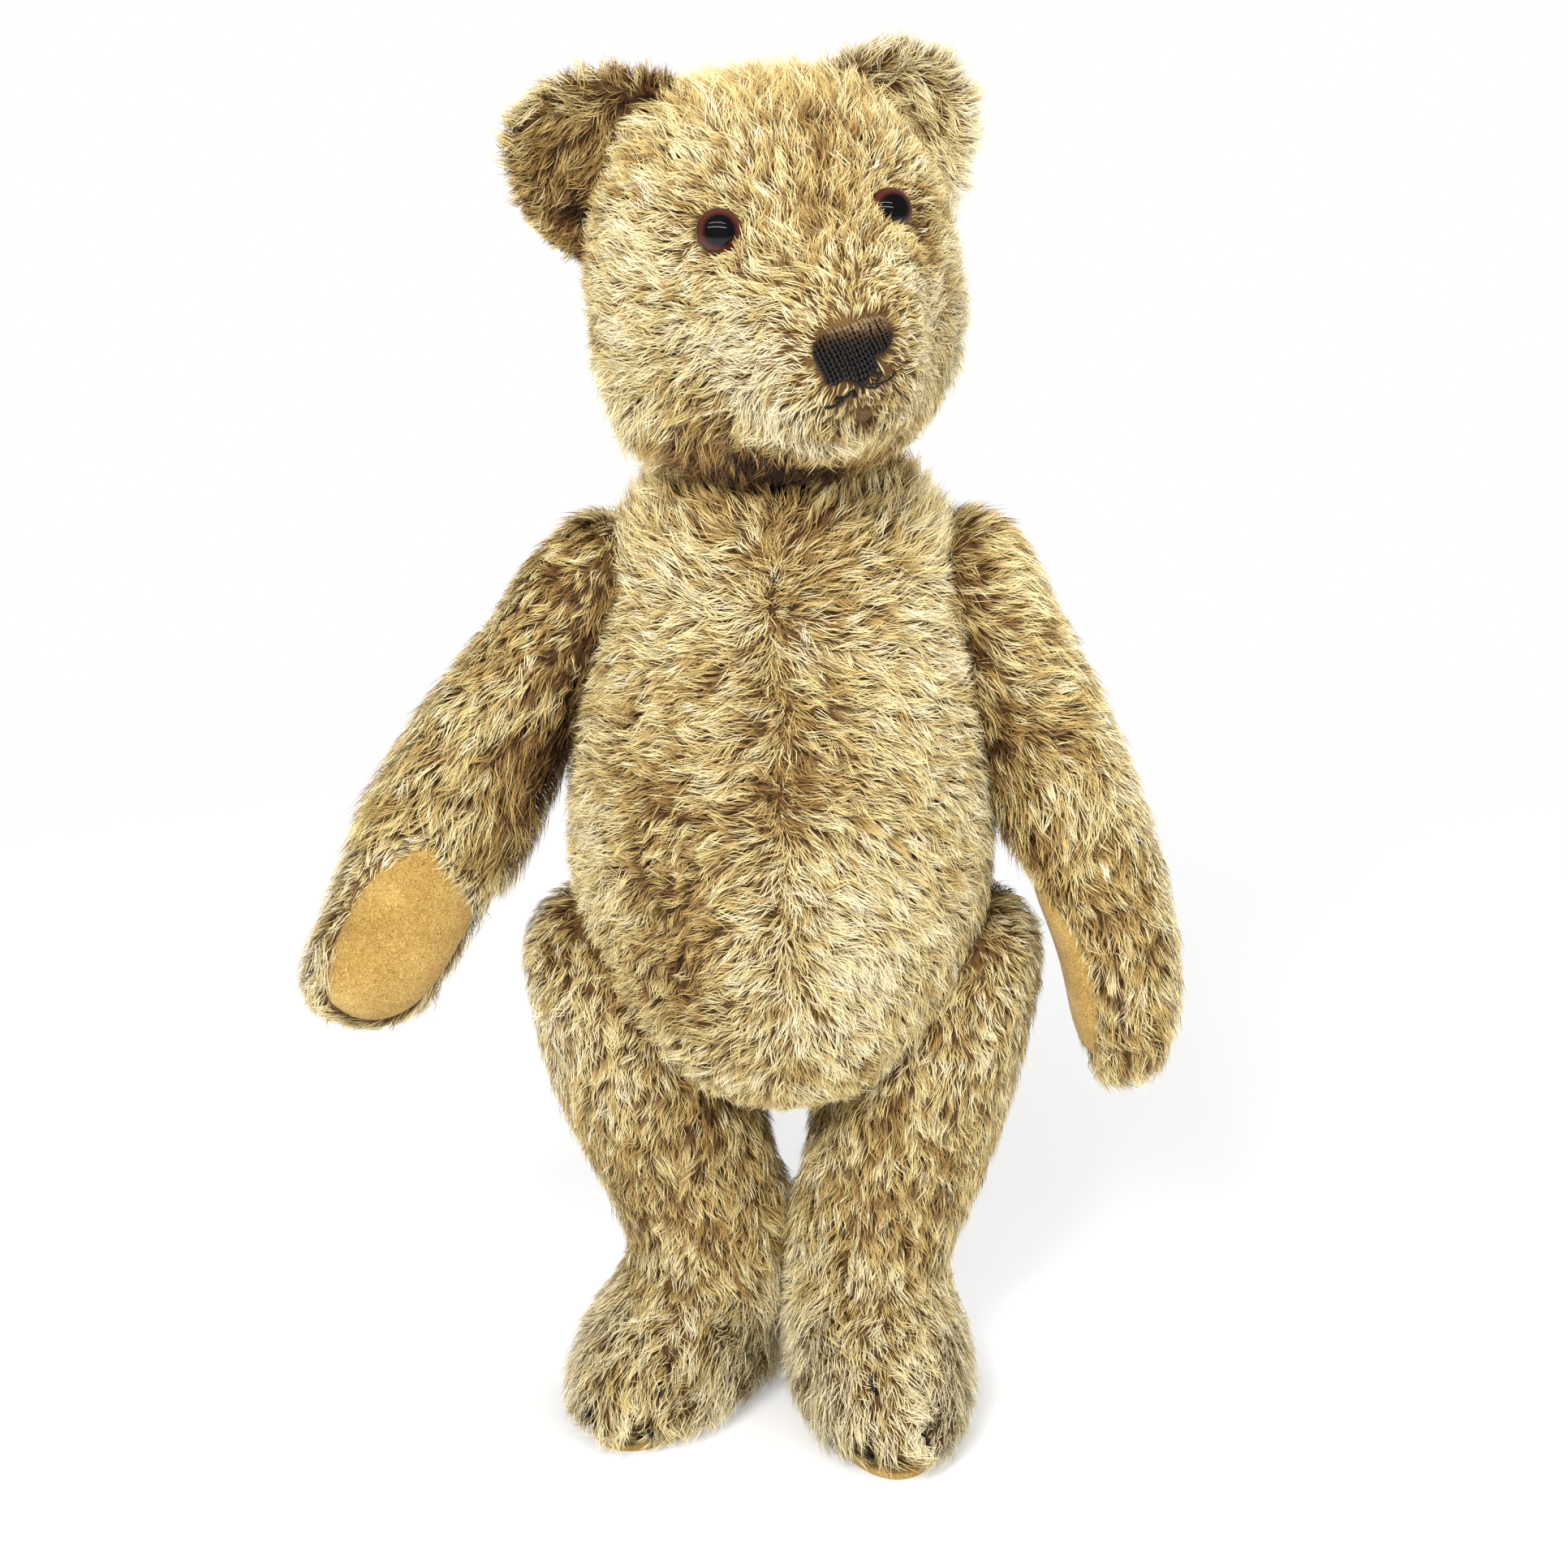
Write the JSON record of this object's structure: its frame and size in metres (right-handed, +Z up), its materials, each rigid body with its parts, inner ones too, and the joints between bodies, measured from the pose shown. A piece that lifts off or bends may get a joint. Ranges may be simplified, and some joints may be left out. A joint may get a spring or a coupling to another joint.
{
  "type": "teddy bear",
  "caption": "Worn jointed teddy bear in curly caramel plush, standing on felt soles, head turned aside, with glass eyes and a stitched nose.",
  "frame": {"origin": "on the floor, under the middle of the whole object's box; the bear's own middle line is 14.3 mm towards +X and 14.8 mm towards +Y from it", "axes": "+Z up; the bear faces -Y; its own left side is +X"},
  "size_m": [0.2582, 0.1359, 0.416],
  "materials": {
    "mohair": "curly caramel mohair pile with cream tips, matted and thin in places",
    "ear_mohair": "darker golden-brown mohair pile",
    "felt": "golden ochre wool felt, rubbed and faintly stained",
    "wood_wool": "packed fine wood shavings",
    "eye_glass": "polished red-brown glass with a black pupil",
    "thread": "twisted dark brown embroidery cotton, worn through at one corner",
    "hardboard": "bare pressed board",
    "steel": "dull drawn wire and stamped washers"
  },
  "bodies": {
    "torso": {"torso_left_panel": "mohair", "torso_right_panel": "mohair", "torso_stuffing": "wood_wool", "neck_torso_disc": "hardboard", "neck_torso_washer": "steel", "left_shoulder_torso_disc": "hardboard", "left_shoulder_torso_washer": "steel", "right_shoulder_torso_disc": "hardboard", "right_shoulder_torso_washer": "steel", "left_hip_torso_disc": "hardboard", "left_hip_torso_washer": "steel", "right_hip_torso_disc": "hardboard", "right_hip_torso_washer": "steel"},
    "head": {"head_gusset": "mohair", "head_left_cheek": "mohair", "head_right_cheek": "mohair", "head_stuffing": "wood_wool", "left_ear_back": "ear_mohair", "left_ear_front": "ear_mohair", "right_ear_back": "ear_mohair", "right_ear_front": "ear_mohair", "left_eye_glass": "eye_glass", "right_eye_glass": "eye_glass", "left_eye_shank": "steel", "right_eye_shank": "steel", "nose_stitching": "thread", "mouth_thread": "thread", "neck_limb_disc": "hardboard", "neck_limb_washer": "steel", "neck_pin": "steel"},
    "left_arm": {"left_arm_outer_panel": "mohair", "left_arm_inner_panel": "mohair", "left_paw_pad": "felt", "left_arm_stuffing": "wood_wool", "left_shoulder_limb_disc": "hardboard", "left_shoulder_limb_washer": "steel", "left_shoulder_pin": "steel"},
    "right_arm": {"right_arm_outer_panel": "mohair", "right_arm_inner_panel": "mohair", "right_paw_pad": "felt", "right_arm_stuffing": "wood_wool", "right_shoulder_limb_disc": "hardboard", "right_shoulder_limb_washer": "steel", "right_shoulder_pin": "steel"},
    "left_leg": {"left_leg_outer_panel": "mohair", "left_leg_inner_panel": "mohair", "left_sole": "felt", "left_leg_stuffing": "wood_wool", "left_hip_limb_disc": "hardboard", "left_hip_limb_washer": "steel", "left_hip_pin": "steel"},
    "right_leg": {"right_leg_outer_panel": "mohair", "right_leg_inner_panel": "mohair", "right_sole": "felt", "right_leg_stuffing": "wood_wool", "right_hip_limb_disc": "hardboard", "right_hip_limb_washer": "steel", "right_hip_pin": "steel"}
  },
  "joints": [
    {"name": "neck", "type": "hinge", "parent": "torso", "child": "head", "pos_m": [0.0143, 0.0168, 0.3], "axis": [-0.0872, 0, 0.9962], "continuous": true},
    {"name": "left_shoulder", "type": "hinge", "parent": "torso", "child": "left_arm", "pos_m": [0.0613, 0.0148, 0.258], "axis": [0.9781, 0, 0.2079], "range_deg": [-110, 110]},
    {"name": "right_shoulder", "type": "hinge", "parent": "torso", "child": "right_arm", "pos_m": [-0.0317, 0.0148, 0.258], "axis": [-0.9703, 0, 0.2419], "range_deg": [-110, 110]},
    {"name": "left_hip", "type": "hinge", "parent": "torso", "child": "left_leg", "pos_m": [0.0573, 0.0168, 0.136], "axis": [0.9135, 0, -0.4067], "range_deg": [-95, 60]},
    {"name": "right_hip", "type": "hinge", "parent": "torso", "child": "right_leg", "pos_m": [-0.0287, 0.0168, 0.136], "axis": [-0.9135, 0, -0.4067], "range_deg": [-60, 95]}
  ]
}
